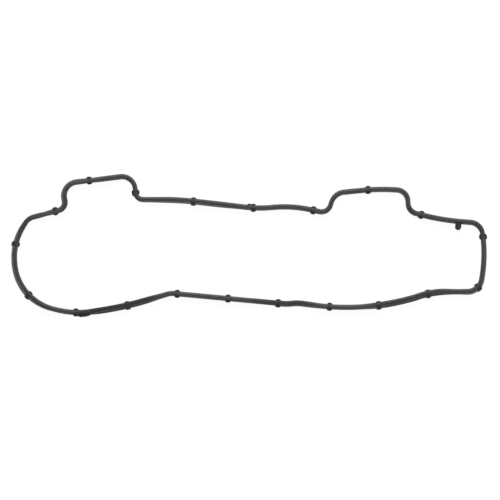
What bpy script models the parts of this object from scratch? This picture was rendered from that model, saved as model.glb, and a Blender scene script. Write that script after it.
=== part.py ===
"""Valve cover gasket: one moulded loop of rubber seal with retention nubs, a tab and a lug.

Metres, +Z up. The loop lies on its foot on z = 0 with its length along X, and the origin
is under the middle of its bounding box.
"""

import math

import bmesh
import bpy
from mathutils import Matrix, Vector

# Upright section of the seal: flat foot, low bead, waist, high bead, round crown
SEAL_WIDTH = 0.0047
SEAL_HEIGHT = 0.0080
FOOT_WIDTH = 0.0022
LOW_BEAD_HEIGHT = 0.0016
WAIST_WIDTH = 0.0037
WAIST_BOTTOM = 0.0029
WAIST_TOP = 0.0048
HIGH_BEAD_HEIGHT = 0.0062
CROWN_RADIUS = 0.00115

# Route of the section's middle, clockwise from above: corner x, corner y, bend radius
ROUTE = (
    # left hump
    (-0.1781, 0.0585, 0.0130),
    (-0.1098, 0.0672, 0.0125),
    (-0.1068, 0.0438, 0.0070),
    # back run, with a shallow dip before the right hump
    (-0.0650, 0.0433, 0.2800),
    (0.0095, 0.0350, 0.1190),
    (0.0407, 0.0380, 0.1170),
    (0.0748, 0.0304, 0.0090),
    # right hump
    (0.0813, 0.0499, 0.0140),
    (0.1225, 0.0540, 0.2000),
    (0.1505, 0.0524, 0.0110),
    (0.1515, 0.0322, 0.0100),
    # right end
    (0.1835, 0.0240, 0.2100),
    (0.2204, 0.0211, 0.0125),
    (0.2239, -0.0100, 0.1420),
    (0.2183, -0.0444, 0.0140),
    # front run
    (0.1728, -0.0442, 0.0820),
    (0.1566, -0.0499, 0.0570),
    (0.1063, -0.0632, 0.2270),
    (0.0460, -0.0549, 0.0400),
    (0.0361, -0.0560, 0.0430),
    (-0.0740, -0.0457, 0.0150),
    (-0.1242, -0.0603, 0.3100),
    (-0.1664, -0.0653, 0.0870),
    # round left end
    (-0.2171, -0.0525, 0.0480),
    (-0.2244, 0.0016, 0.0560),
    (-0.2090, 0.0258, 0.0130),
    (-0.1732, 0.0350, 0.0080),
)

# Stretches where the tall section has rolled over as it lies: distance along the loop to
# the middle of the stretch, half its length, and the angle, positive towards the inside
ROLLS = (
    (0.0040, 0.0420, math.radians(18)),
    (0.1480, 0.0450, math.radians(-8)),
    (0.4840, 0.0450, math.radians(11)),
    (0.5700, 0.0480, math.radians(20)),
    (0.6790, 0.0250, math.radians(8)),
    (0.8440, 0.0400, math.radians(18)),
    (0.9700, 0.0600, math.radians(17)),
)

# Retention nubs, in pairs across the seal, by distance along the loop
NUB_PLACES = (
    0.0340, 0.0879, 0.1465, 0.2036, 0.2609, 0.3224, 0.3868,
    0.4540, 0.5033, 0.5518, 0.5999, 0.6463, 0.6952, 0.7428,
    0.7910, 0.8395, 0.8888, 0.9376, 0.9898, 1.0431,
)  # fmt: skip
NUB_REACH = 0.00135
NUB_WIDTH = 0.0051
NUB_CORNER = 0.0019
NUB_BOTTOM = 0.0010
NUB_TOP = 0.0058
NUB_ROUNDING = 0.0007

# One narrow nub stands by itself beside a pair, on the outer side only
KEY_NUB_PLACE = 0.1996
KEY_NUB_WIDTH = 0.0024
KEY_NUB_CORNER = 0.0011

# Tab on the inner side of the right end
TAB_PLACE = 0.4227
TAB_WIDTH = 0.0056
TAB_LENGTH = 0.0060
TAB_TIP_FLAT = 0.0002
TAB_BOTTOM = 0.0022
TAB_TOP = 0.0068
TAB_ROUNDING = 0.0006

# Lug on the outer side of the front run: square at LUG_PLACE, at full reach from there to
# the taper, which runs out inside the seal at a distance of LUG_RUN_OUT from its middle
LUG_PLACE = 0.8852
LUG_LENGTH = 0.0115
LUG_TAPER = 0.0075
LUG_REACH = 0.0016
LUG_RUN_OUT = 0.0015
LUG_BOTTOM = 0.0008
LUG_FACE_TOP = 0.0040
LUG_SHOULDER = 0.0062
LUG_SHOULDER_SHARE = 0.45
LUG_TOP = 0.0072

# What stands on one side only is rooted inside the seal, this far past its middle plane
ROOT_DEPTH = WAIST_WIDTH / 4

# Facets: the most that a chord may leave its arc, and the longest step along the loop
CHORD_SAG = 0.00008
LONGEST_STEP = 0.0100
CORNER_FACETS = 3
ROUNDED_RIM_FACETS = 2
LUG_TAPER_FACETS = 4
SHARP_EDGE = math.radians(50)
SAME_HEIGHT = 1e-7

RUBBER_COLOUR = (0.055, 0.056, 0.055, 1.0)
RUBBER_ROUGHNESS = 0.48


def clear_scene():
    """Removes everything that the new scene starts with."""
    for obj in list(bpy.data.objects):
        bpy.data.objects.remove(obj, do_unlink=True)


def rubber():
    """Dark moulded rubber."""
    material = bpy.data.materials.new("rubber")
    material.use_nodes = True
    shader = material.node_tree.nodes["Principled BSDF"]
    shader.inputs["Base Color"].default_value = RUBBER_COLOUR
    shader.inputs["Roughness"].default_value = RUBBER_ROUGHNESS
    shader.inputs["Metallic"].default_value = 0.0
    return material


class Span:
    """One straight or arc of the route. A positive curvature turns left."""

    def __init__(self, start, heading, length, curvature=0.0):
        self.start = start
        self.heading = heading
        self.length = length
        self.curvature = curvature

    def at(self, distance):
        """The point and the heading at a distance from the span's start."""
        if not self.curvature:
            return self.start + self.heading * distance, self.heading
        swing = Matrix.Rotation(self.curvature * distance, 2)
        arm = self.heading.orthogonal() / self.curvature
        return self.start + arm - swing @ arm, swing @ self.heading

    def marks(self):
        """Distances at which the facets along the span meet."""
        step = LONGEST_STEP
        if self.curvature:
            step = min(step, math.sqrt(8 * CHORD_SAG / abs(self.curvature)))
        count = math.ceil(self.length / step)
        return [self.length * index / count for index in range(count)]


def corner_arc(before, corner, after, radius):
    """The arc that rounds one corner of the route."""
    arriving = (corner - before).normalized()
    leaving = (after - corner).normalized()
    turn = math.atan2(arriving.cross(leaving), arriving.dot(leaving))
    start = corner - arriving * radius * math.tan(abs(turn) / 2)
    return Span(start, arriving, radius * abs(turn), math.copysign(1 / radius, turn))


class Loop:
    """The seal's route, measured from the first corner's arc, and the section's stance."""

    def __init__(self):
        corners = [Vector((x, y)) for x, y, _ in ROUTE]
        arcs = [
            corner_arc(corners[index - 1], corner, corners[(index + 1) % len(corners)], radius)
            for index, (corner, (_, _, radius)) in enumerate(zip(corners, ROUTE))
        ]
        self.spans = []
        for arc, following in zip(arcs, arcs[1:] + arcs[:1]):
            end, heading = arc.at(arc.length)
            self.spans += [arc, Span(end, heading, (following.start - end).length)]
        self.starts = [0.0]
        for span in self.spans:
            self.starts.append(self.starts[-1] + span.length)
        self.length = self.starts.pop()

    def stations(self):
        """Distances along the loop at which the facets meet."""
        return [start + mark for start, span in zip(self.starts, self.spans) for mark in span.marks()]

    def roll(self, distance):
        """How far the section has rolled inwards, in radians."""
        total = 0.0
        for middle, reach, angle in ROLLS:
            apart = abs((distance - middle + self.length / 2) % self.length - self.length / 2)
            ease = min(max(2 - 2 * apart / reach, 0.0), 1.0)
            total += angle * ease * ease * (3 - 2 * ease)
        return total

    def stance(self, distance):
        """A frame for the section: X along the seal, Y outwards, Z up, zero at the foot."""
        distance %= self.length
        index = max(i for i, start in enumerate(self.starts) if start <= distance)
        point, heading = self.spans[index].at(distance - self.starts[index])
        angle = self.roll(distance)
        along = Vector((heading.x, heading.y, 0.0))
        outward = Vector((-heading.y, heading.x, 0.0))
        upward = Vector((0.0, 0.0, 1.0))
        across = outward * math.cos(angle) + upward * math.sin(angle)
        up = upward * math.cos(angle) - outward * math.sin(angle)
        foot = Vector((point.x, point.y, 0.0)) + outward * (SEAL_HEIGHT / 2 * math.sin(angle))
        foot.z = -min(u * across.z + v * up.z for u, v in section_outline())
        columns = Matrix((along, across, up)).transposed()
        return Matrix.Translation(foot) @ columns.to_4x4()


def section_outline():
    """The section's points, as (outward, up) from the middle of the foot."""
    half = SEAL_WIDTH / 2
    flare = half - FOOT_WIDTH / 2
    diagonal = math.sqrt(0.5)
    right = [
        (FOOT_WIDTH / 2, 0.0),
        (FOOT_WIDTH / 2 + flare * diagonal, LOW_BEAD_HEIGHT * (1 - diagonal)),
        (half, LOW_BEAD_HEIGHT),
        (WAIST_WIDTH / 2, WAIST_BOTTOM),
        (WAIST_WIDTH / 2, WAIST_TOP),
        (half, HIGH_BEAD_HEIGHT),
        (CROWN_RADIUS, SEAL_HEIGHT - CROWN_RADIUS),
        (CROWN_RADIUS * diagonal, SEAL_HEIGHT - CROWN_RADIUS * (1 - diagonal)),
    ]
    left = [(-across, up) for across, up in reversed(right)]
    return right + [(0.0, SEAL_HEIGHT)] + left


def new_object(name, bm):
    """An object from a finished bmesh, with its faces pointing outwards."""
    bmesh.ops.recalc_face_normals(bm, faces=bm.faces)
    mesh = bpy.data.meshes.new(name)
    bm.to_mesh(mesh)
    bm.free()
    obj = bpy.data.objects.new(name, mesh)
    bpy.context.scene.collection.objects.link(obj)
    return obj


def loft(bm, rings):
    """Faces between following rings of corners."""
    for ring, following in rings:
        for index in range(len(ring)):
            bm.faces.new((ring[index - 1], ring[index], following[index], following[index - 1]))


def seal(loop):
    """The plain loop: the section carried round the route and closed on itself."""
    bm = bmesh.new()
    outline = section_outline()
    rings = []
    for distance in loop.stations():
        frame = loop.stance(distance)
        rings.append([bm.verts.new(frame @ Vector((0.0, u, v))) for u, v in outline])
    loft(bm, zip(rings, rings[1:] + rings[:1]))
    return new_object("cover_gasket", bm)


def rounded_bar(inner, outer, width, corner):
    """A flat outline from inner to outer across the seal, with rounded corners."""
    points = []
    middles = (
        (width / 2 - corner, outer - corner),
        (corner - width / 2, outer - corner),
        (corner - width / 2, inner + corner),
        (width / 2 - corner, inner + corner),
    )
    for quarter, (along, across) in enumerate(middles):
        for step in range(CORNER_FACETS + 1):
            angle = math.pi / 2 * (quarter + step / CORNER_FACETS)
            points.append((along + corner * math.cos(angle), across + corner * math.sin(angle)))
    return points


def add_pad(bm, frame, outline, bottom, top, rounding):
    """Raises a flat outline into a pad with a rounded upper edge, standing in the frame."""
    made = bmesh.new()
    foot = made.faces.new([made.verts.new((x, y, bottom)) for x, y in outline])
    raised = bmesh.ops.extrude_face_region(made, geom=[foot])["geom"]
    corners = [item for item in raised if isinstance(item, bmesh.types.BMVert)]
    bmesh.ops.translate(made, verts=corners, vec=(0.0, 0.0, top - bottom))
    rim = [e for e in made.edges if all(abs(v.co.z - top) < SAME_HEIGHT for v in e.verts)]
    bmesh.ops.bevel(
        made, geom=rim, offset=rounding, segments=ROUNDED_RIM_FACETS, affect="EDGES", profile=0.5
    )
    bmesh.ops.transform(made, matrix=frame, verts=made.verts)
    scratch = bpy.data.meshes.new("pad")
    made.to_mesh(scratch)
    made.free()
    bm.from_mesh(scratch)
    bpy.data.meshes.remove(scratch)


def nubs(loop):
    """All retention nubs: each pair is one pad that runs through the seal."""
    bm = bmesh.new()
    reach = SEAL_WIDTH / 2 + NUB_REACH
    pair = rounded_bar(-reach, reach, NUB_WIDTH, NUB_CORNER)
    for place in NUB_PLACES:
        add_pad(bm, loop.stance(place), pair, NUB_BOTTOM, NUB_TOP, NUB_ROUNDING)
    key = rounded_bar(-ROOT_DEPTH, reach, KEY_NUB_WIDTH, KEY_NUB_CORNER)
    add_pad(bm, loop.stance(KEY_NUB_PLACE), key, NUB_BOTTOM, NUB_TOP, NUB_ROUNDING)
    return new_object("nubs", bm)


def tab(loop):
    """The round-ended tongue that stands into the loop at its right end."""
    bm = bmesh.new()
    tip = -SEAL_WIDTH / 2 - TAB_LENGTH
    outline = rounded_bar(tip, ROOT_DEPTH, TAB_WIDTH, TAB_WIDTH / 2 - TAB_TIP_FLAT / 2)
    add_pad(bm, loop.stance(TAB_PLACE), outline, TAB_BOTTOM, TAB_TOP, TAB_ROUNDING)
    return new_object("tab", bm)


def lug_rings():
    """The lug's sections from its square end to the end of its taper, in the seal's frame."""
    full = SEAL_WIDTH / 2 + LUG_REACH - LUG_RUN_OUT
    cuts = [(0.0, 1.0)]
    for step in range(LUG_TAPER_FACETS + 1):
        share = step / LUG_TAPER_FACETS
        cuts.append((LUG_LENGTH - LUG_TAPER * (1 - share), math.sqrt(1 - share**2)))
    for back, fullness in cuts:
        outer = LUG_RUN_OUT + full * fullness
        shoulder = LUG_RUN_OUT + full * fullness * LUG_SHOULDER_SHARE
        yield [
            Vector((-back, ROOT_DEPTH, LUG_BOTTOM)),
            Vector((-back, outer, LUG_BOTTOM)),
            Vector((-back, outer, LUG_FACE_TOP)),
            Vector((-back, shoulder, LUG_SHOULDER)),
            Vector((-back, ROOT_DEPTH, LUG_TOP)),
        ]


def lug(loop):
    """The lug outside the front run, whose top slopes down from the crown's foot."""
    bm = bmesh.new()
    frame = loop.stance(LUG_PLACE - LUG_LENGTH / 2) @ Matrix.Translation((LUG_LENGTH / 2, 0.0, 0.0))
    rings = [[bm.verts.new(frame @ corner) for corner in ring] for ring in lug_rings()]
    loft(bm, zip(rings, rings[1:]))
    bm.faces.new(rings[0])
    bm.faces.new(rings[-1])
    return new_object("lug", bm)


def join(body, addition):
    """Unites an addition with the body and leaves it as an unrendered guide."""
    addition.hide_render = True
    addition.display_type = "WIRE"
    union = body.modifiers.new("with_" + addition.name, "BOOLEAN")
    union.operation = "UNION"
    union.solver = "EXACT"
    union.object = addition


def centre_on_origin(pieces, body):
    """Hangs the pieces on an empty that brings the body's box over the origin."""
    bpy.context.view_layer.update()
    graph = bpy.context.evaluated_depsgraph_get()
    shape = body.evaluated_get(graph).to_mesh()
    low = Vector([min(v.co[axis] for v in shape.vertices) for axis in range(3)])
    high = Vector([max(v.co[axis] for v in shape.vertices) for axis in range(3)])
    middle = (low + high) / 2
    datum = bpy.data.objects.new("datum", None)
    bpy.context.scene.collection.objects.link(datum)
    datum.location = (-middle.x, -middle.y, -low.z)
    for piece in pieces:
        piece.parent = datum


def build():
    """Models the gasket."""
    clear_scene()
    loop = Loop()
    gasket = seal(loop)
    additions = [nubs(loop), tab(loop), lug(loop)]
    for addition in additions:
        join(gasket, addition)
    gasket.data.materials.append(rubber())
    gasket.data.shade_smooth()
    gasket.data.set_sharp_from_angle(angle=SHARP_EDGE)
    centre_on_origin([gasket, *additions], gasket)


build()
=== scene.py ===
"""Dresses the valve cover gasket: one finely moulded loop of rubber seal, and a pale studio.

Metres, +Z up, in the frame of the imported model. Sizes that the solid also has are repeated
here, and the loop is set on the solid's own box.
"""

import logging
import math
from dataclasses import dataclass, field
from enum import Enum

import bmesh
import bpy
from mathutils import Matrix, Vector
from mathutils.bvhtree import BVHTree

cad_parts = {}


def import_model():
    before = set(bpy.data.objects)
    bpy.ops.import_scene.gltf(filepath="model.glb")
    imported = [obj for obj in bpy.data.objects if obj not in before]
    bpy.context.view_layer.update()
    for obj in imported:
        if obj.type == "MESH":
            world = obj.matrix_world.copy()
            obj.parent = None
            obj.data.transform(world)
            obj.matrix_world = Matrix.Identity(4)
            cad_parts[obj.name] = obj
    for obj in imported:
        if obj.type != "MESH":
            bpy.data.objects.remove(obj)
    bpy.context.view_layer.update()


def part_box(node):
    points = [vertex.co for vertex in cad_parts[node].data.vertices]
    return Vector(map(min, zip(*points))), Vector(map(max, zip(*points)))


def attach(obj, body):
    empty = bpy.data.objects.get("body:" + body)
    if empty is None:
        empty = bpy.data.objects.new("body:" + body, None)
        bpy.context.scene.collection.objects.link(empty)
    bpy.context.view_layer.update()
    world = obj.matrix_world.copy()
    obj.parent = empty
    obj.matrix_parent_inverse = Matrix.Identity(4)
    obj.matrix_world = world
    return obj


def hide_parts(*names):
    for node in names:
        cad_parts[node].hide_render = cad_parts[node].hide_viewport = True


LOG = logging.getLogger("gasket")

NODE = "cover_gasket"
BODY = "root"
# a length that counts as none, also the radius of a corner that stays sharp
TINY = 1e-7
# points closer than this are one
SAME_POINT = 1e-6
NODE_SPACING = 180

Colour = tuple[float, float, float, float]
# what a node's input takes: a plain value, or the output that feeds it
Feed = float | Colour | bpy.types.NodeSocket


class Sides(Enum):
    """Which walls of the seal a nub stands on: the share of it that the inner wall gets."""

    BOTH = 1.0
    OUTER = 0.0


@dataclass(frozen=True)
class Bend:
    """A corner of a path and the radius that rounds it."""

    x: float
    y: float
    radius: float


@dataclass(frozen=True)
class Span:
    """One arc or straight of a path. A positive curvature turns left."""

    start: Vector
    heading: Vector
    length: float
    curvature: float = 0.0

    def at(self, distance: float) -> tuple[Vector, Vector]:
        """The point and the heading at a distance along the span.

        Args:
            distance: from the span's start, in metres.

        Returns:
            The point and the unit heading.
        """
        if not self.curvature:
            return self.start + self.heading * distance, self.heading
        swing = Matrix.Rotation(self.curvature * distance, 2)
        arm = self.heading.orthogonal() / self.curvature
        return self.start + arm - swing @ arm, swing @ self.heading


class Path:
    """A closed path of straights joined by arcs, measured from the first corner's arc."""

    def __init__(self, bends: list[Bend]) -> None:
        """Works out the spans.

        Args:
            bends: the corners in order.
        """
        self.spans: list[Span] = []
        arcs = [
            self._arc(bends[i - 1], bend, bends[(i + 1) % len(bends)])
            for i, bend in enumerate(bends)
        ]
        for index, arc in enumerate(arcs):
            end, heading = arc.at(arc.length)
            reach = (arcs[(index + 1) % len(arcs)].start - end).length
            self.spans.append(arc)
            if reach > TINY:
                self.spans.append(Span(end, heading, reach))
        self.starts = [0.0]
        for span in self.spans:
            self.starts.append(self.starts[-1] + span.length)
        self.length = self.starts.pop()

    @staticmethod
    def _arc(before: Bend, bend: Bend, after: Bend) -> Span:
        """The arc that rounds one corner.

        Args:
            before: the corner before it.
            bend: the corner itself.
            after: the corner after it.

        Returns:
            The arc.
        """
        corner = Vector((bend.x, bend.y))
        arriving = (corner - Vector((before.x, before.y))).normalized()
        leaving = (Vector((after.x, after.y)) - corner).normalized()
        turn = math.atan2(arriving.cross(leaving), arriving.dot(leaving))
        start = corner - arriving * bend.radius * math.tan(abs(turn) / 2)
        curvature = math.copysign(1 / bend.radius, turn)
        return Span(start, arriving, bend.radius * abs(turn), curvature)

    def at(self, distance: float) -> tuple[Vector, Vector]:
        """The point and the heading at a distance along the path.

        Args:
            distance: in metres; it wraps round the loop.

        Returns:
            The point and the unit heading.
        """
        distance %= self.length
        index = max(i for i, start in enumerate(self.starts) if start <= distance)
        return self.spans[index].at(distance - self.starts[index])

    def marks(self, sag: float, longest: float) -> list[float]:
        """Distances at which facets meet.

        Args:
            sag: the most that a chord may leave its arc.
            longest: the longest step.

        Returns:
            The distances, in order.
        """
        found = []
        for start, span in zip(self.starts, self.spans):
            step = longest
            if span.curvature:
                step = min(longest, math.sqrt(8 * sag / abs(span.curvature)))
            count = math.ceil(span.length / step)
            found += [start + span.length * i / count for i in range(count)]
        return found


@dataclass(frozen=True)
class Section:
    """The seal's upright section: flat foot, low bead, waist, high bead and round crown."""

    width: float = 0.0047
    height: float = 0.0080
    foot_width: float = 0.0022
    low_bead_height: float = 0.0016
    waist_width: float = 0.0037
    waist_bottom: float = 0.0029
    waist_top: float = 0.0048
    waist_bend: float = 0.0015
    high_bead_height: float = 0.0062
    shoulder_bend: float = 0.00035
    crease_height: float = 0.00665
    crease_bend: float = 0.00025
    crown_radius: float = 0.00115

    def path(self) -> Path:
        """Rounds the corners of the section.

        Returns:
            Its outline, as (outward, up) from the middle of its foot.
        """
        half = self.width / 2
        waist = self.waist_width / 2
        right = [
            Bend(half, 0.0, half - self.foot_width / 2),
            Bend(half, self.low_bead_height, self.waist_bend),
            Bend(waist, self.waist_bottom, self.waist_bend),
            Bend(waist, self.waist_top, self.waist_bend),
            Bend(half, self.high_bead_height, self.shoulder_bend),
            Bend(self.crown_radius, self.crease_height, self.crease_bend),
            Bend(self.crown_radius, self.height, self.crown_radius),
        ]
        left = [Bend(-bend.x, bend.y, bend.radius) for bend in reversed(right)]
        return Path(right + left)

    def outline(self, sag: float = 0.00001, longest: float = 0.00042) -> list[Vector]:
        """The facets' corners round the section.

        Args:
            sag: the most that a facet may leave the true curve.
            longest: the longest facet.

        Returns:
            The points, anticlockwise as seen along the seal.
        """
        path = self.path()
        return [path.at(mark)[0] for mark in path.marks(sag, longest)]


@dataclass(frozen=True)
class Stretch:
    """A length of the loop, as far as its reach either way, where something eases in and out."""

    middle: float
    reach: float
    amount: float

    def at(self, distance: float, loop: float) -> float:
        """The amount somewhere along the loop.

        Args:
            distance: along the loop, in metres.
            loop: the loop's whole length.

        Returns:
            The amount, full over the middle half of the stretch and then easing out to zero.
        """
        apart = abs((distance - self.middle + loop / 2) % loop - loop / 2)
        ease = min(max(2 - 2 * apart / self.reach, 0.0), 1.0)
        return self.amount * ease * ease * (3 - 2 * ease)


@dataclass(frozen=True)
class Route:
    """The way round the cover, clockwise from above, and how the section leans on it."""

    bends: tuple[Bend, ...] = (
        # left hump
        Bend(-0.1781, 0.0585, 0.0130),
        Bend(-0.1098, 0.0672, 0.0125),
        Bend(-0.1068, 0.0438, 0.0070),
        # back run, with a shallow dip before the right hump
        Bend(-0.0650, 0.0433, 0.2800),
        Bend(0.0095, 0.0350, 0.1190),
        Bend(0.0407, 0.0380, 0.1170),
        Bend(0.0748, 0.0304, 0.0090),
        # right hump
        Bend(0.0813, 0.0499, 0.0140),
        Bend(0.1225, 0.0540, 0.2000),
        Bend(0.1505, 0.0524, 0.0110),
        Bend(0.1515, 0.0322, 0.0100),
        # right end
        Bend(0.1835, 0.0240, 0.2100),
        Bend(0.2204, 0.0211, 0.0125),
        Bend(0.2239, -0.0100, 0.1420),
        Bend(0.2183, -0.0444, 0.0140),
        # front run
        Bend(0.1728, -0.0442, 0.0820),
        Bend(0.1566, -0.0499, 0.0570),
        Bend(0.1063, -0.0632, 0.2270),
        Bend(0.0460, -0.0549, 0.0400),
        Bend(0.0361, -0.0560, 0.0430),
        Bend(-0.0740, -0.0457, 0.0150),
        Bend(-0.1242, -0.0603, 0.3100),
        Bend(-0.1664, -0.0653, 0.0870),
        # round left end
        Bend(-0.2171, -0.0525, 0.0480),
        Bend(-0.2244, 0.0016, 0.0560),
        Bend(-0.2090, 0.0258, 0.0130),
        Bend(-0.1732, 0.0350, 0.0080),
    )
    # where the tall section has rolled over as it lies, in degrees inwards
    rolls: tuple[Stretch, ...] = (
        Stretch(0.004, 0.042, 18),
        Stretch(0.148, 0.045, -8),
        Stretch(0.484, 0.045, 11),
        Stretch(0.570, 0.048, 20),
        Stretch(0.679, 0.025, 8),
        Stretch(0.844, 0.040, 18),
        Stretch(0.970, 0.060, 17),
    )
    # where painted shade darkens the seal and takes off its pale bloom, as a share: all round, or
    # on the outer wall
    stretch_shade: tuple[Stretch, ...] = (Stretch(0.692, 0.036, 0.35), Stretch(0.850, 0.050, 0.55))
    stretch_shade_outside: tuple[Stretch, ...] = (Stretch(0.565, 0.050, 0.75),)


class Lay:
    """The seal as it lies: the section's stance anywhere along the route."""

    def __init__(self, route: Route, section: Section) -> None:
        """Sets out the route.

        Args:
            route: the corners and the rolls.
            section: the section that is carried round.
        """
        self.route = route
        self.section = section
        self.path = Path(list(route.bends))
        self.outline = section.outline()

    def total(self, stretches: tuple[Stretch, ...], distance: float) -> float:
        """The sum of what the stretches give at a distance along the loop."""
        return sum(stretch.at(distance, self.path.length) for stretch in stretches)

    def stance(self, distance: float) -> Matrix:
        """The section's frame: X along the seal, Y outwards, Z up, zero under its foot.

        Args:
            distance: along the loop, in metres.

        Returns:
            The frame, lifted so that the section's lowest point is on the ground.
        """
        point, heading = self.path.at(distance)
        angle = math.radians(self.total(self.route.rolls, distance))
        along = Vector((heading.x, heading.y, 0.0))
        outward = Vector((-heading.y, heading.x, 0.0))
        upward = Vector((0.0, 0.0, 1.0))
        across = outward * math.cos(angle) + upward * math.sin(angle)
        up = upward * math.cos(angle) - outward * math.sin(angle)
        swing = outward * (self.section.height / 2 * math.sin(angle))
        foot = Vector((point.x, point.y, 0.0)) + swing
        foot.z = -min(spot.x * across.z + spot.y * up.z for spot in self.outline)
        return Matrix.Translation(foot) @ Matrix((along, across, up)).transposed().to_4x4()


class Graph:
    """A node tree under construction."""

    def __init__(self, tree: bpy.types.NodeTree) -> None:
        """Keeps the tree.

        Args:
            tree: the tree that nodes are added to.
        """
        self.tree = tree

    def add(
        self, kind: str, inputs: dict[str | int, object] | None = None, **settings: object
    ) -> bpy.types.Node:
        """Adds a node.

        Args:
            kind: the node's type.
            inputs: by socket name or number, a value or the output that feeds it.
            settings: the node's own options.

        Returns:
            The node.
        """
        node = self.tree.nodes.new(kind)
        node.location = (NODE_SPACING * len(self.tree.nodes), 0)
        for name, value in settings.items():
            setattr(node, name, value)
        for name, value in (inputs or {}).items():
            if isinstance(value, bpy.types.NodeSocket):
                self.tree.links.new(value, node.inputs[name])
            else:
                node.inputs[name].default_value = value
        return node

    def math(self, operation: str, *values: Feed, clamp: bool = False) -> bpy.types.NodeSocket:
        """Adds a Math node.

        Args:
            operation: what it does.
            values: its operands, each a number or an output.
            clamp: whether the result is held between 0 and 1.

        Returns:
            Its output.
        """
        kind = "ShaderNodeMath"
        node = self.add(kind, dict(enumerate(values)), operation=operation, use_clamp=clamp)
        return node.outputs[0]

    def ramp(self, value: Feed, low: Feed, high: Feed) -> bpy.types.NodeSocket:
        """Maps a value from low and high to 0 and 1.

        Args:
            value: the output to read.
            low: the value that becomes 0.
            high: the value that becomes 1.

        Returns:
            The mapped value, held between 0 and 1.
        """
        inputs = {"Value": value, "From Min": low, "From Max": high}
        node = self.add("ShaderNodeMapRange", inputs, clamp=True)
        return node.outputs["Result"]


def new_tree(name: str, kind: str, ins: dict[str, float | str], outs: dict[str, str]) -> Graph:
    """Starts a node group with named inputs and outputs.

    Args:
        name: the group's name.
        kind: the tree's type.
        ins: by name, a number for a float input, or the socket's type.
        outs: by name, the socket's type.

    Returns:
        The group under construction.
    """
    tree = bpy.data.node_groups.new(name, kind)
    for label, value in ins.items():
        socket_type = value if isinstance(value, str) else "NodeSocketFloat"
        socket = tree.interface.new_socket(label, in_out="INPUT", socket_type=socket_type)
        if not isinstance(value, str):
            socket.default_value = value
    for label, socket_type in outs.items():
        tree.interface.new_socket(label, in_out="OUTPUT", socket_type=socket_type)
    return Graph(tree)


def link_object(name: str, mesh: bpy.types.Mesh) -> bpy.types.Object:
    """An object in the scene for a mesh.

    Args:
        name: its name.
        mesh: its mesh.

    Returns:
        The object.
    """
    made = bpy.data.objects.new(name, mesh)
    bpy.context.scene.collection.objects.link(made)
    return made


def store(mesh: bpy.types.Mesh, numbers: dict[str, list[float]]) -> None:
    """Stores numbers at a mesh's points.

    Args:
        mesh: the mesh.
        numbers: by attribute name, one number for each point.
    """
    for name, values in numbers.items():
        mesh.attributes.new(name, "FLOAT", "POINT").data.foreach_set("value", values)


def bake(obj: bpy.types.Object) -> None:
    """Turns an object's modifiers into its plain mesh and takes them off.

    Args:
        obj: the object to settle.
    """
    graph = bpy.context.evaluated_depsgraph_get()
    mesh = bpy.data.meshes.new_from_object(
        obj.evaluated_get(graph), preserve_all_data_layers=True, depsgraph=graph
    )
    obj.modifiers.clear()
    obj.data = mesh


@dataclass(frozen=True)
class Nub:
    """One place along the loop where retention nubs stand."""

    place: float
    width: float = 0.0051
    sides: Sides = Sides.BOTH
    reach_share: float = 1.0


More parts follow.
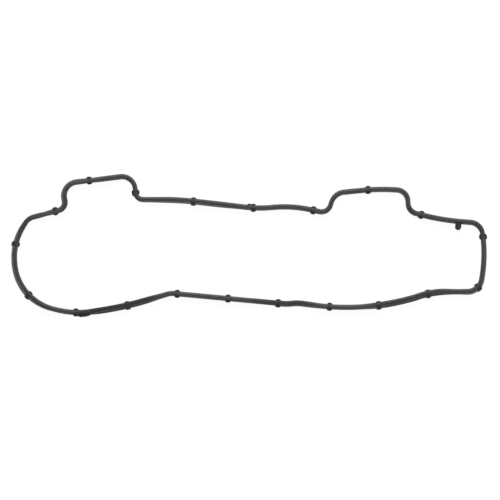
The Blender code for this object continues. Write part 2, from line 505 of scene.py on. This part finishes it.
@dataclass(frozen=True)
class Nubs:
    """The retention nubs that hold the seal in the cover's groove."""

    reach: float = 0.00135
    bottom: float = 0.0010
    top: float = 0.0058
    corner_share: float = 0.75
    rounding: float = 0.0007
    # how strongly painted shade darkens a nub, and the level at which the painted shade has faded
    # out
    mark: float = 0.85
    mark_top: float = 0.0078
    # the fine rings of the mesh: how far they run past a nub, and their spacing
    margin: float = 0.0004
    step: float = 0.00024
    places: tuple[Nub, ...] = (
        Nub(0.0340),
        Nub(0.0879),
        Nub(0.1465),
        Nub(0.1997, 0.0042, Sides.OUTER, 0.85),
        Nub(0.2036),
        Nub(0.2609),
        Nub(0.3224),
        Nub(0.3868),
        Nub(0.4540),
        Nub(0.5033),
        Nub(0.5518),
        Nub(0.5999),
        Nub(0.6463),
        Nub(0.6952),
        Nub(0.7428),
        Nub(0.7910),
        Nub(0.8395),
        Nub(0.8888),
        Nub(0.9376),
        Nub(0.9898),
        Nub(1.0431),
    )

    def zone(self, nub: Nub) -> tuple[float, float]:
        """Where the seal needs fine rings for a nub, as distances along the loop."""
        reach = nub.width / 2 + self.margin
        return nub.place - reach, nub.place + reach

    def spots(self) -> bpy.types.Object:
        """The places as points on a line, one metre of X for each metre of the loop.

        Returns:
            The object that the nubs' tree reads.
        """
        mesh = bpy.data.meshes.new("nub_places")
        mesh.from_pydata([(nub.place, 0.0, 0.0) for nub in self.places], [], [])
        numbers = {
            "nub_width": [nub.width for nub in self.places],
            "inner_share": [nub.sides.value for nub in self.places],
            "reach_share": [nub.reach_share for nub in self.places],
        }
        store(mesh, numbers)
        return link_object("nub_places", mesh)

    def sizes(self) -> dict[str, float]:
        """Lists the sizes that the nubs' tree takes.

        Returns:
            Each size, by the name of its input.
        """
        return {
            "Reach": self.reach,
            "Bottom": self.bottom,
            "Top": self.top,
            "Corner Share": self.corner_share,
            "Rounding": self.rounding,
            "Mark": self.mark,
            "Mark Top": self.mark_top,
        }

    def tree(self) -> bpy.types.NodeTree:
        """The tree that raises a nub from each wall at every place along the seal.

        Returns:
            The geometry tree.
        """
        ins = {"Geometry": "NodeSocketGeometry", "Places": "NodeSocketObject", **self.sizes()}
        ins["Material"] = "NodeSocketMaterial"
        graph = new_tree("raise_nubs", "GeometryNodeTree", ins, {"Geometry": "NodeSocketGeometry"})
        given = graph.add("NodeGroupInput").outputs
        along = self._read(graph, "along")
        level = self._read(graph, "level")
        place, width, inner, reach = self._nearest(graph, given["Places"], along)

        apart = graph.math("ABSOLUTE", graph.math("SUBTRACT", along, place))
        half = graph.math("MULTIPLY", width, 0.5)
        corner = graph.math("MULTIPLY", half, given["Corner Share"])
        full = self._rounded(graph, apart, half, corner)
        outer = graph.math("GREATER_THAN", self._read(graph, "side"), 0.0)
        full = graph.math("MULTIPLY", full, graph.math("MAXIMUM", inner, outer))
        full = graph.math("MULTIPLY", full, graph.math("GREATER_THAN", level, given["Bottom"]))

        high = self._rounded(graph, level, given["Top"], given["Rounding"])
        rise = graph.math("MULTIPLY", full, high)
        reach = graph.math("MULTIPLY", reach, given["Reach"])
        stand = graph.math("ADD", reach, self._read(graph, "inset"))
        wall = self._read(graph, "wall", "FLOAT_VECTOR")
        offset = graph.add(
            "ShaderNodeVectorMath",
            {0: wall, "Scale": graph.math("MULTIPLY", rise, stand)},
            operation="SCALE",
        ).outputs["Vector"]
        # painted shade, stored as raised: full on the nubs and fading out towards the crown
        faded = graph.math("MULTIPLY", graph.ramp(level, given["Mark Top"], given["Top"]), full)
        mark = graph.math("MULTIPLY", faded, given["Mark"])
        marked = graph.add(
            "GeometryNodeStoreNamedAttribute",
            {"Geometry": given["Geometry"], "Name": "raised", "Value": mark},
            data_type="FLOAT",
            domain="POINT",
        ).outputs[0]
        moved = graph.add("GeometryNodeSetPosition", {"Geometry": marked, "Offset": offset})
        real = graph.add("GeometryNodeRealizeInstances", {"Geometry": moved.outputs[0]})
        finish = {"Geometry": real.outputs[0], "Material": given["Material"]}
        dressed = graph.add("GeometryNodeSetMaterial", finish)
        graph.add("NodeGroupOutput", {"Geometry": dressed.outputs[0]})
        return graph.tree

    def _nearest(
        self, graph: Graph, spots: bpy.types.NodeSocket, along: bpy.types.NodeSocket
    ) -> list[bpy.types.NodeSocket]:
        """Reads the numbers of the place that is nearest along the loop.

        Args:
            graph: the tree under construction.
            spots: the object that holds the places.
            along: the distance along the loop.

        Returns:
            The place itself, then the nub's width, the inner wall's share and the reach share.
        """
        places = graph.add("GeometryNodeObjectInfo", {"Object": spots}).outputs["Geometry"]
        spot = graph.add("ShaderNodeCombineXYZ", {"X": along}).outputs[0]
        sought = {"Geometry": places, "Sample Position": spot}
        index = graph.add("GeometryNodeSampleNearest", sought).outputs["Index"]
        position = graph.add("GeometryNodeInputPosition").outputs[0]
        values = [graph.add("ShaderNodeSeparateXYZ", {"Vector": position}).outputs["X"]]
        values += [self._read(graph, name) for name in ("nub_width", "inner_share", "reach_share")]
        return [
            graph.add(
                "GeometryNodeSampleIndex",
                {"Geometry": places, "Value": value, "Index": index},
                data_type="FLOAT",
                domain="POINT",
            ).outputs["Value"]
            for value in values
        ]

    @staticmethod
    def _rounded(
        graph: Graph,
        value: bpy.types.NodeSocket,
        edge: bpy.types.NodeSocket,
        radius: bpy.types.NodeSocket,
    ) -> bpy.types.NodeSocket:
        """A pad's height that ends at an edge in a quarter round.

        Args:
            graph: the tree under construction.
            value: the distance that runs towards the edge.
            edge: where the pad ends.
            radius: how far before the edge the rounding starts.

        Returns:
            1 on the pad's face and 0 past its edge.
        """
        share = graph.ramp(value, graph.math("SUBTRACT", edge, radius), edge)
        return graph.math("SQRT", graph.math("SUBTRACT", 1.0, graph.math("POWER", share, 2.0)))

    @staticmethod
    def _read(graph: Graph, name: str, kind: str = "FLOAT") -> bpy.types.NodeSocket:
        """The output of a node that reads an attribute."""
        node = graph.add("GeometryNodeInputNamedAttribute", {"Name": name}, data_type=kind)
        return node.outputs["Attribute"]

    def raise_on(self, seal: bpy.types.Object, material: bpy.types.Material) -> None:
        """Raises the nubs on the plain seal and settles its mesh.

        Args:
            seal: the plain loop, with the attributes that its sweep stored.
            material: the finish of the whole loop.
        """
        spots = self.spots()
        tree = self.tree()
        modifier = seal.modifiers.new("nubs", "NODES")
        modifier.node_group = tree
        keys = {item.name: item.identifier for item in tree.interface.items_tree}
        for name, value in (self.sizes() | {"Places": spots, "Material": material}).items():
            modifier[keys[name]] = value
        bake(seal)
        bpy.data.objects.remove(spots)


@dataclass(frozen=True)
class Tab:
    """The round-ended tongue that stands into the loop at its right end."""

    place: float = 0.4227
    width: float = 0.0056
    length: float = 0.0060
    tip_flat: float = 0.0002
    bottom: float = 0.0022
    top: float = 0.0068
    rounding: float = 0.0006
    root_depth: float = 0.0009
    root_flare: float = 0.0005
    root_bend: float = 0.0004
    # how strongly painted shade darkens it
    mark: float = 0.75

    def outline(self, section: Section) -> Path:
        """Rounds the tongue's tip and the corners at its root.

        Args:
            section: the seal's own section.

        Returns:
            The outline from above, as (along, outward) in the section's frame.
        """
        wall = -section.width / 2
        half = self.width / 2
        tip_bend = half - self.tip_flat / 2
        return Path(
            [
                Bend(half + self.root_flare, self.root_depth, TINY),
                Bend(-half - self.root_flare, self.root_depth, TINY),
                Bend(-half - self.root_flare, wall, TINY),
                Bend(-half, wall, self.root_bend),
                Bend(-half, wall - self.length, tip_bend),
                Bend(half, wall - self.length, tip_bend),
                Bend(half, wall, self.root_bend),
                Bend(half + self.root_flare, wall, TINY),
            ]
        )


@dataclass(frozen=True)
class Lug:
    """The lug outside the front run: it starts at a nub and tapers out along the seal."""

    place: float = 0.8852
    heel: float = 0.0014
    heel_share: float = 0.80
    length: float = 0.0108
    taper: float = 0.0072
    reach: float = 0.0016
    run_out: float = 0.0015
    bottom: float = 0.0008
    face_top: float = 0.0040
    shoulder: float = 0.0062
    shoulder_share: float = 0.45
    top: float = 0.0072
    root_depth: float = 0.0009
    rounding: float = 0.0005
    facets: int = 8
    # how strongly painted shade darkens it
    mark: float = 1.0

    def rings(self, section: Section) -> list[list[Vector]]:
        """The lug's sections, as (along, outward, up) in the seal's frame.

        Args:
            section: the seal's own section.

        Returns:
            The sections' corners, from the heel to the end of the taper.
        """
        full = section.width / 2 + self.reach - self.run_out
        cuts = [(-self.heel, self.heel_share), (0.0, 1.0)]
        for step in range(self.facets + 1):
            turn = math.pi / 2 * step / self.facets
            cuts.append((self.length - self.taper * (1 - math.sin(turn)), math.cos(turn)))
        found = []
        for back, fullness in cuts:
            outer = self.run_out + full * fullness
            shoulder = self.run_out + full * fullness * self.shoulder_share
            spots = [
                (self.root_depth, self.bottom),
                (outer, self.bottom),
                (outer, self.face_top),
                (shoulder, self.shoulder),
                (self.root_depth, self.top),
            ]
            found.append([Vector((-back, across, up)) for across, up in spots])
        return found


@dataclass
class Gasket:
    """The whole moulded part."""

    section: Section = field(default_factory=Section)
    route: Route = field(default_factory=Route)
    nubs: Nubs = field(default_factory=Nubs)
    tab: Tab = field(default_factory=Tab)
    lug: Lug = field(default_factory=Lug)
    # how far the mesh may leave a bend of the route, and its longest step along the seal
    sag: float = 0.000006
    longest_step: float = 0.0032
    rim_facets: int = 4
    sharp_edge: float = math.radians(35)
    shaded_edge: float = math.radians(55)

    def __post_init__(self) -> None:
        """Sets out the lay of the seal."""
        self.lay = Lay(self.route, self.section)

    def stations(self) -> list[float]:
        """Where the rings of the mesh stand: fine at the nubs, and by curvature between.

        Returns:
            Distances along the loop, in order.
        """
        zones = [self.nubs.zone(nub) for nub in self.nubs.places]
        merged = [list(zones[0])]
        for low, high in zones[1:]:
            if low <= merged[-1][1]:
                merged[-1][1] = high
            else:
                merged.append([low, high])
        marks = self.lay.path.marks(self.sag, self.longest_step)
        clear = self.nubs.step / 2
        found = [
            mark
            for mark in marks
            if all(mark < low - clear or mark > high + clear for low, high in merged)
        ]
        for low, high in merged:
            count = math.ceil((high - low) / self.nubs.step)
            found += [low + (high - low) * i / count for i in range(count + 1)]
        return sorted(found)

    def sweep(self) -> bpy.types.Object:
        """The plain loop, with what the nubs' tree needs to know stored at each point.

        Returns:
            The object of the closed mesh.
        """
        outline = self.lay.outline
        stations = self.stations()
        points, walls = [], []
        for distance in stations:
            frame = self.lay.stance(distance)
            outward = frame.col[1].to_3d()
            points += [frame @ Vector((0.0, spot.x, spot.y)) for spot in outline]
            walls += [outward * math.copysign(1.0, spot.x) for spot in outline]
        around, count = len(outline), len(points)
        faces = []
        for ring in range(len(stations)):
            first, second = ring * around, (ring + 1) * around
            for i in range(around):
                j = (i + 1) % around
                quad = (first + i, second + i, second + j, first + j)
                faces.append(tuple(point % count for point in quad))
        mesh = bpy.data.meshes.new("seal")
        mesh.from_pydata(points, [], faces)
        half = self.section.width / 2
        # painted shade along some stretches, all round and on the outer wall
        stretch_shade = [self.lay.total(self.route.stretch_shade, distance) for distance in stations]
        outside = [self.lay.total(self.route.stretch_shade_outside, distance) for distance in stations]
        outer_shares = [(max(spot.x, 0.0) / half) ** 2 for spot in outline]
        numbers = {
            "along": [distance for distance in stations for _ in outline],
            "level": [spot.y for _ in stations for spot in outline],
            "inset": [half - abs(spot.x) for _ in stations for spot in outline],
            "side": [math.copysign(1.0, spot.x) for _ in stations for spot in outline],
            "stretch_shade": [
                all_round + outer_wall * outer_share
                for all_round, outer_wall in zip(stretch_shade, outside)
                for outer_share in outer_shares
            ],
        }
        store(mesh, numbers)
        wall = mesh.attributes.new("wall", "FLOAT_VECTOR", "POINT")
        wall.data.foreach_set("vector", [part for vector in walls for part in vector])
        mesh.shade_smooth()
        return link_object("moulded_seal", mesh)

    def tongue(self) -> bpy.types.Object:
        """Makes the tab's solid, rounded along its upper and lower rims.

        Returns:
            The object, in the loop's frame.
        """
        path = self.tab.outline(self.section)
        bm = bmesh.new()
        corners = []
        for mark in path.marks(self.sag, path.length):
            spot = path.at(mark)[0]
            if not corners or (spot - corners[-1]).length > SAME_POINT:
                corners.append(spot)
        face = bm.faces.new([bm.verts.new((x, y, self.tab.bottom)) for x, y in corners])
        raised = bmesh.ops.extrude_face_region(bm, geom=[face])["geom"]
        lifted = [item for item in raised if isinstance(item, bmesh.types.BMVert)]
        bmesh.ops.translate(bm, verts=lifted, vec=(0.0, 0.0, self.tab.top - self.tab.bottom))
        rims = [edge for edge in bm.edges if abs(edge.verts[0].co.z - edge.verts[1].co.z) < TINY]
        return self.addition("tab", bm, rims, self.tab.place, self.tab.rounding)

    def wedge(self) -> bpy.types.Object:
        """Makes the lug's solid, with its sharp edges rounded.

        Returns:
            The object, in the loop's frame.
        """
        bm = bmesh.new()
        sections = self.lug.rings(self.section)
        rings = [[bm.verts.new(corner) for corner in section] for section in sections]
        for ring, following in zip(rings, rings[1:]):
            for i in range(len(ring)):
                bm.faces.new((ring[i - 1], ring[i], following[i], following[i - 1]))
        bm.faces.new(rings[0])
        bm.faces.new(rings[-1])
        sharp = [edge for edge in bm.edges if edge.calc_face_angle() > self.sharp_edge]
        half = self.lug.length / 2
        bmesh.ops.translate(bm, verts=bm.verts, vec=(half, 0.0, 0.0))
        return self.addition("lug", bm, sharp, self.lug.place - half, self.lug.rounding)

    def addition(
        self,
        name: str,
        bm: bmesh.types.BMesh,
        edges: list[bmesh.types.BMEdge],
        place: float,
        rounding: float,
    ) -> bpy.types.Object:
        """Rounds edges of a solid that was made in the section's frame, and places it.

        Args:
            name: the solid's name.
            bm: its mesh, which is used up.
            edges: the edges to round.
            place: distance along the loop.
            rounding: the edges' radius.

        Returns:
            The object, in the loop's frame.
        """
        bmesh.ops.bevel(
            bm,
            geom=edges,
            offset=rounding,
            segments=self.rim_facets,
            affect="EDGES",
            profile=0.5,
            clamp_overlap=True,
        )
        bmesh.ops.remove_doubles(bm, verts=bm.verts, dist=TINY)
        bmesh.ops.transform(bm, matrix=self.lay.stance(place), verts=bm.verts)
        bmesh.ops.recalc_face_normals(bm, faces=bm.faces)
        mesh = bpy.data.meshes.new(name)
        bm.to_mesh(mesh)
        bm.free()
        return link_object(name, mesh)

    def build(self, material: bpy.types.Material) -> bpy.types.Object:
        """Moulds the part in one and sets it on the solid's box.

        Args:
            material: its finish.

        Returns:
            The finished piece.
        """
        seal = self.sweep()
        self.nubs.raise_on(seal, material)
        # the tab and the lug are joined on, and their surfaces take painted shade
        for extra, share in ((self.tongue(), self.tab.mark), (self.wedge(), self.lug.mark)):
            extra.data.materials.append(material)
            union = seal.modifiers.new(extra.name, "BOOLEAN")
            union.operation = "UNION"
            union.solver = "EXACT"
            union.object = extra
            bake(seal)
            self.mark(seal, extra, share)
            bpy.data.objects.remove(extra)
        seal.data.shade_smooth()
        seal.data.set_sharp_from_angle(angle=self.shaded_edge)
        self.settle(seal)
        return seal

    @staticmethod
    def mark(seal: bpy.types.Object, extra: bpy.types.Object, share: float) -> None:
        """Marks as raised what the seal took over from a solid that was joined to it, so that it
        takes painted shade.

        Args:
            seal: the joined mesh.
            extra: the solid.
            share: how strongly the painted shade darkens it.
        """
        skin = BVHTree.FromPolygons(
            [vertex.co for vertex in extra.data.vertices],
            [polygon.vertices for polygon in extra.data.polygons],
        )
        marks = seal.data.attributes["raised"].data
        for vertex, raised in zip(seal.data.vertices, marks):
            if skin.find_nearest(vertex.co, TINY)[0]:
                raised.value = share

    @staticmethod
    def settle(seal: bpy.types.Object) -> None:
        """Brings the middle of the piece's box over the middle of the solid's.

        Args:
            seal: the piece, whose mesh is moved.
        """
        low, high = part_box(NODE)
        spots = [vertex.co for vertex in seal.data.vertices]
        own_low = Vector([min(spot[axis] for spot in spots) for axis in range(3)])
        own_high = Vector([max(spot[axis] for spot in spots) for axis in range(3)])
        shift = (low + high - own_low - own_high) / 2
        shift.z = low.z - own_low.z
        seal.data.transform(Matrix.Translation(shift))


@dataclass(frozen=True)
class Rubber:
    """Dark moulded rubber with a satin skin and a thin pale bloom, which also paints a highlight
    on the flanks, and with painted shade on the nubs, tab, lug and some stretches.
    """

    colour: Colour = (0.021, 0.0205, 0.020, 1.0)
    bloom_and_highlight_colour: Colour = (0.093, 0.093, 0.096, 1.0)
    # near black: painted shade on the nubs, tab, lug and some stretches of the seal
    shade_colour: Colour = (0.004, 0.004, 0.003, 1.0)
    speck_colour: Colour = (0.20, 0.20, 0.19, 1.0)
    bloom_and_highlight: float = 0.80
    # the pale bloom thins out from the shoulder of the section to its crown: real dust, and also a
    # painted highlight that makes the flanks lighter than the crown
    shoulder_level: float = 0.0062
    crown_level: float = 0.0079
    # the patterns' scales are in repeats for each metre
    mottle_scale: float = 45.0
    mottle_detail: float = 4.0
    mottle_low: float = 0.34
    mottle_high: float = 0.66
    grain_scale: float = 2600.0
    grain_detail: float = 3.0
    grain_depth: float = 0.00003
    speck_scale: float = 900.0
    speck_size: float = 0.22
    speck_share: float = 0.03
    roughness_low: float = 0.40
    roughness_high: float = 0.54
    shade_roughness: float = 0.95
    specular: float = 0.5
    sheen: float = 0.16
    sheen_roughness: float = 0.30

    def grain_group(self) -> bpy.types.NodeTree:
        """Makes the group for the mould's fine grain and the slow mottling of the skin.

        Returns:
            The shader group.
        """
        ins = {
            "Vector": "NodeSocketVector",
            "Grain Scale": self.grain_scale,
            "Mottle Scale": self.mottle_scale,
        }
        outs = {"Height": "NodeSocketFloat", "Mottle": "NodeSocketFloat"}
        graph = new_tree("moulded_grain", "ShaderNodeTree", ins, outs)
        given = graph.add("NodeGroupInput").outputs
        details = {"Grain Scale": self.grain_detail, "Mottle Scale": self.mottle_detail}
        fine, slow = [
            graph.add(
                "ShaderNodeTexNoise",
                {"Vector": given["Vector"], "Scale": given[scale], "Detail": detail},
            ).outputs[0]
            for scale, detail in details.items()
        ]
        mottle = graph.ramp(slow, self.mottle_low, self.mottle_high)
        graph.add("NodeGroupOutput", {"Height": fine, "Mottle": mottle})
        return graph.tree

    def speck_group(self) -> bpy.types.NodeTree:
        """Makes the group that scatters fine pale specks, as of talc from the mould.

        Returns:
            The shader group.
        """
        ins = {
            "Vector": "NodeSocketVector",
            "Scale": self.speck_scale,
            "Size": self.speck_size,
            "Share": self.speck_share,
        }
        graph = new_tree("specks", "ShaderNodeTree", ins, {"Mask": "NodeSocketFloat"})
        given = graph.add("NodeGroupInput").outputs
        cells = graph.add(
            "ShaderNodeTexVoronoi", {"Vector": given["Vector"], "Scale": given["Scale"]}
        )
        near = graph.math("LESS_THAN", cells.outputs["Distance"], given["Size"])
        parts = graph.add("ShaderNodeSeparateColor", {"Color": cells.outputs["Color"]})
        chosen = graph.math("LESS_THAN", parts.outputs[0], given["Share"])
        graph.add("NodeGroupOutput", {"Mask": graph.math("MULTIPLY", near, chosen)})
        return graph.tree

    def material(self) -> bpy.types.Material:
        """The finish of the whole loop.

        Returns:
            The material.
        """
        made = bpy.data.materials.new("satin_rubber")
        made.use_nodes = True
        graph = Graph(made.node_tree)
        shader = made.node_tree.nodes["Principled BSDF"]
        place = graph.add("ShaderNodeTexCoord").outputs["Object"]
        grain = graph.add("ShaderNodeGroup", {"Vector": place}, node_tree=self.grain_group())
        specks = graph.add("ShaderNodeGroup", {"Vector": place}, node_tree=self.speck_group())
        raised, stretch_shade, level = [
            graph.add("ShaderNodeAttribute", attribute_name=name).outputs["Fac"]
            for name in ("raised", "stretch_shade", "level")
        ]
        # painted shade: the nubs, tab, lug and some stretches turn near black, lose the pale bloom
        # and turn rougher
        painted_shade = graph.math("MAXIMUM", raised, stretch_shade)
        plain = graph.math("SUBTRACT", 1.0, painted_shade, clamp=True)
        # the pale bloom is real dust, and its thinning towards the crown paints a highlight on the
        # flanks
        flank_bloom_and_highlight = graph.ramp(level, self.crown_level, self.shoulder_level)
        bloom_and_highlight = graph.math("MULTIPLY", grain.outputs["Mottle"], self.bloom_and_highlight)
        bloom_and_highlight = graph.math("MULTIPLY", bloom_and_highlight, flank_bloom_and_highlight)
        bloom_and_highlight = graph.math("MULTIPLY", bloom_and_highlight, plain)
        skin = self._mix(graph, bloom_and_highlight, self.colour, self.bloom_and_highlight_colour)
        skin = self._mix(graph, painted_shade, skin, self.shade_colour)
        dust = graph.math("MULTIPLY", specks.outputs["Mask"], plain)
        skin = self._mix(graph, dust, skin, self.speck_colour)
        rough = graph.add(
            "ShaderNodeMapRange",
            {
                "Value": grain.outputs["Mottle"],
                "To Min": self.roughness_low,
                "To Max": self.roughness_high,
            },
        ).outputs["Result"]
        duller = graph.math("MULTIPLY", painted_shade, self.shade_roughness - self.roughness_high)
        rough = graph.math("ADD", rough, duller)
        bump = graph.add(
            "ShaderNodeBump",
            {"Height": grain.outputs["Height"], "Distance": self.grain_depth, "Strength": 1.0},
        )
        shader.inputs["Specular IOR Level"].default_value = self.specular
        shader.inputs["Sheen Weight"].default_value = self.sheen
        shader.inputs["Sheen Roughness"].default_value = self.sheen_roughness
        graph.tree.links.new(skin, shader.inputs["Base Color"])
        graph.tree.links.new(rough, shader.inputs["Roughness"])
        graph.tree.links.new(bump.outputs["Normal"], shader.inputs["Normal"])
        return made

    @staticmethod
    def _mix(graph: Graph, share: Feed, first: Feed, second: Feed) -> bpy.types.NodeSocket:
        """Mixes two colours.

        Args:
            graph: the tree under construction.
            share: how much of the second.
            first: a colour or an output.
            second: a colour or an output.

        Returns:
            The mixed colour.
        """
        # the Mix node's sockets for colours, which share their names with those for numbers
        factor, colour_a, colour_b, result = 0, 6, 7, 2
        inputs = {factor: share, colour_a: first, colour_b: second}
        return graph.add("ShaderNodeMix", inputs, data_type="RGBA").outputs[result]


@dataclass(frozen=True)
class Lamp:
    """A soft area lamp that looks at the gasket."""

    name: str
    place: tuple[float, float, float]
    size: tuple[float, float]
    watts: float
    colour: tuple[float, float, float] = (1.0, 1.0, 1.0)

    def add(self) -> None:
        """Hangs the lamp."""
        data = bpy.data.lights.new(self.name, "AREA")
        data.shape = "RECTANGLE"
        data.size, data.size_y = self.size
        data.energy = self.watts
        data.color = self.colour
        lamp = bpy.data.objects.new(self.name, data)
        bpy.context.scene.collection.objects.link(lamp)
        lamp.location = self.place
        lamp.rotation_euler = (-Vector(self.place)).to_track_quat("-Z", "Y").to_euler()


@dataclass(frozen=True)
class Studio:
    """A pale sweep under and around the part, soft lamps and the camera."""

    floor_radius: float = 9.0
    wall_radius: float = 2.5
    wall_height: float = 3.5
    floor_steps: int = 96
    floor_sag: float = 0.02
    paper_colour: Colour = (0.9, 0.9, 0.9, 1.0)
    # how bright the paper glows, and the share of the glow in what the camera sees of it
    glow: float = 1.02
    white_share: float = 0.93
    world_colour: Colour = (0.95, 0.97, 1.0, 1.0)
    world_strength: float = 0.17
    lamps: tuple[Lamp, ...] = (
        Lamp("key", (0.0, 1.15, 1.25), (1.2, 0.5), 25.2, (0.96, 0.975, 1.0)),
        Lamp("left", (-1.3, 0.25, 1.0), (0.5, 1.0), 2.5),
        Lamp("right", (1.3, 0.25, 1.0), (0.5, 1.0), 6.0),
        Lamp("front", (0.0, -1.4, 0.9), (1.2, 0.4), 9.0, (1.0, 0.98, 0.94)),
    )
    # the photograph's frame: object 475 pixels of 500, its middle at (249.3, 245.25)
    elevation: float = 83.0
    lens: float = 200.0
    frame_pixels: float = 500.0
    pixel: float = 0.450 / 475.0
    object_middle: tuple[float, float] = (249.3, 245.25)
    aim_height: float = 0.004
    view_depth: float = 60.0

    def white(self) -> bpy.types.Material:
        """White paper that shows at full strength and still takes a soft shadow.

        Returns:
            The material.
        """
        made = bpy.data.materials.new("white_paper")
        made.use_nodes = True
        graph = Graph(made.node_tree)
        made.node_tree.nodes.remove(made.node_tree.nodes["Principled BSDF"])
        output = made.node_tree.nodes["Material Output"]
        paper = graph.add("ShaderNodeBsdfDiffuse", {"Color": self.paper_colour})
        glow = graph.add("ShaderNodeEmission", {"Strength": self.glow})
        rays = graph.add("ShaderNodeLightPath").outputs
        seen = graph.math("MAXIMUM", rays["Is Camera Ray"], rays["Is Glossy Ray"])
        seen = graph.math("MAXIMUM", seen, rays["Is Transmission Ray"])
        share = graph.math("MULTIPLY", seen, self.white_share)
        mixed = graph.add(
            "ShaderNodeMixShader", {0: share, 1: paper.outputs[0], 2: glow.outputs[0]}
        )
        graph.tree.links.new(mixed.outputs[0], output.inputs["Surface"])
        return made

    def sweep(self) -> None:
        """The floor, turned up into a far wall all round."""
        bend = Path(
            [
                Bend(0.0, 0.0, TINY),
                Bend(self.floor_radius, 0.0, self.wall_radius),
                Bend(self.floor_radius, self.wall_height, TINY),
                Bend(0.0, self.wall_height, TINY),
            ]
        )
        bm = bmesh.new()
        profile = [bend.at(mark)[0] for mark in bend.marks(self.floor_sag, self.floor_radius)]
        turns = [2 * math.pi * i / self.floor_steps for i in range(self.floor_steps)]
        rings = [
            [bm.verts.new((spot.x * math.cos(t), spot.x * math.sin(t), spot.y)) for t in turns]
            for spot in profile
            if spot.x > SAME_POINT and spot.y < self.wall_height - SAME_POINT
        ]
        bm.faces.new(rings[0])
        for inner, outer in zip(rings, rings[1:]):
            for i in range(self.floor_steps):
                bm.faces.new((inner[i - 1], outer[i - 1], outer[i], inner[i]))
        mesh = bpy.data.meshes.new("paper_sweep")
        bm.to_mesh(mesh)
        bm.free()
        mesh.shade_smooth()
        floor = link_object("paper_sweep", mesh)
        floor.data.materials.append(self.white())

    def camera(self) -> None:
        """The camera at the photograph's angle, framed as the photograph is."""
        data = bpy.data.cameras.new("camera")
        data.lens = self.lens
        camera = bpy.data.objects.new("camera", data)
        bpy.context.scene.collection.objects.link(camera)
        tilt = math.radians(self.elevation)
        right = (self.frame_pixels / 2 - self.object_middle[0]) * self.pixel
        down = (self.frame_pixels / 2 - self.object_middle[1]) * self.pixel / math.sin(tilt)
        aim = Vector((right, -down, self.aim_height))
        back = Vector((0.0, -math.cos(tilt), math.sin(tilt)))
        distance = self.frame_pixels * self.pixel * self.lens / data.sensor_width
        camera.location = aim + back * distance
        camera.rotation_euler = (-back).to_track_quat("-Z", "Y").to_euler()
        data.clip_end = self.view_depth
        bpy.context.scene.camera = camera

    def world(self) -> None:
        """An even dim light from all round."""
        world = bpy.data.worlds.new("room")
        bpy.context.scene.world = world
        world.use_nodes = True
        background = world.node_tree.nodes["Background"]
        background.inputs["Color"].default_value = self.world_colour
        background.inputs["Strength"].default_value = self.world_strength

    def build(self) -> None:
        """Sets up the room."""
        self.sweep()
        self.world()
        for lamp in self.lamps:
            lamp.add()
        self.camera()
        bpy.context.scene.view_settings.view_transform = "Standard"


def corners(box: tuple[Vector, Vector]) -> list[list[float]]:
    """A box as plain lists of numbers."""
    return [list(corner) for corner in box]


def main() -> None:
    """Dresses the gasket and sets up the studio."""
    logging.basicConfig(level=logging.INFO, format="%(name)s: %(message)s")
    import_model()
    piece = Gasket().build(Rubber().material())
    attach(piece, BODY)
    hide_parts(NODE)
    LOG.info("%s: %d faces", piece.name, len(piece.data.polygons))
    studio = Studio()
    studio.build()
    LOG.info("studio: %d lamps", len(studio.lamps))


if __name__ == "__main__":
    main()
